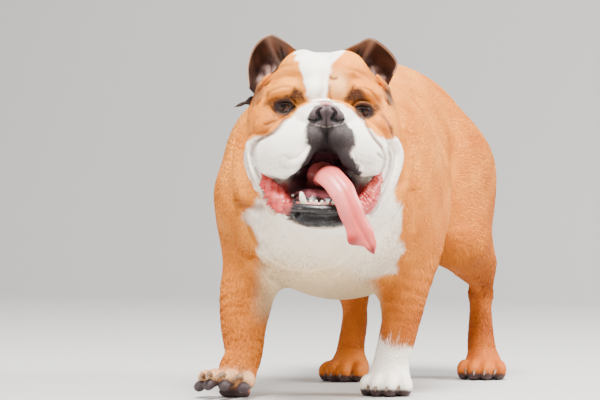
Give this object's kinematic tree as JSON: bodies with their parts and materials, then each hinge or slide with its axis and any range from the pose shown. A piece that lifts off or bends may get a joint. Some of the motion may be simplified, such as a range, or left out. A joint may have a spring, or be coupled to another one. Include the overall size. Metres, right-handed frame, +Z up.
{
  "type": "english bulldog model",
  "caption": "Life-size still model of an English bulldog in mid-stride, head turned, mouth open and tongue hanging to one side.",
  "frame": {"origin": "middle of the bottom of the whole box, on the floor under the belly", "axes": "+X towards the animal's left side, +Y towards its tail, +Z up; it faces -Y"},
  "size_m": [0.2884, 0.6488, 0.4282],
  "materials": {
    "coat": "matte",
    "paw_skin": "matte",
    "ear_skin": "matte",
    "tongue_skin": "satin",
    "eye_glass": "gloss"
  },
  "bodies": {
    "root": {"head": "coat", "jaw": "coat", "neck": "coat", "torso": "coat", "tail": "coat", "foreleg_left": "coat", "foreleg_right": "coat", "hindleg_left": "coat", "hindleg_right": "coat", "forepaw_left": "paw_skin", "forepaw_right": "paw_skin", "hindpaw_left": "paw_skin", "hindpaw_right": "paw_skin", "ear_left": "ear_skin", "ear_right": "ear_skin", "eye_left": "eye_glass", "eye_right": "eye_glass", "tongue": "tongue_skin"}
  },
  "joints": []
}
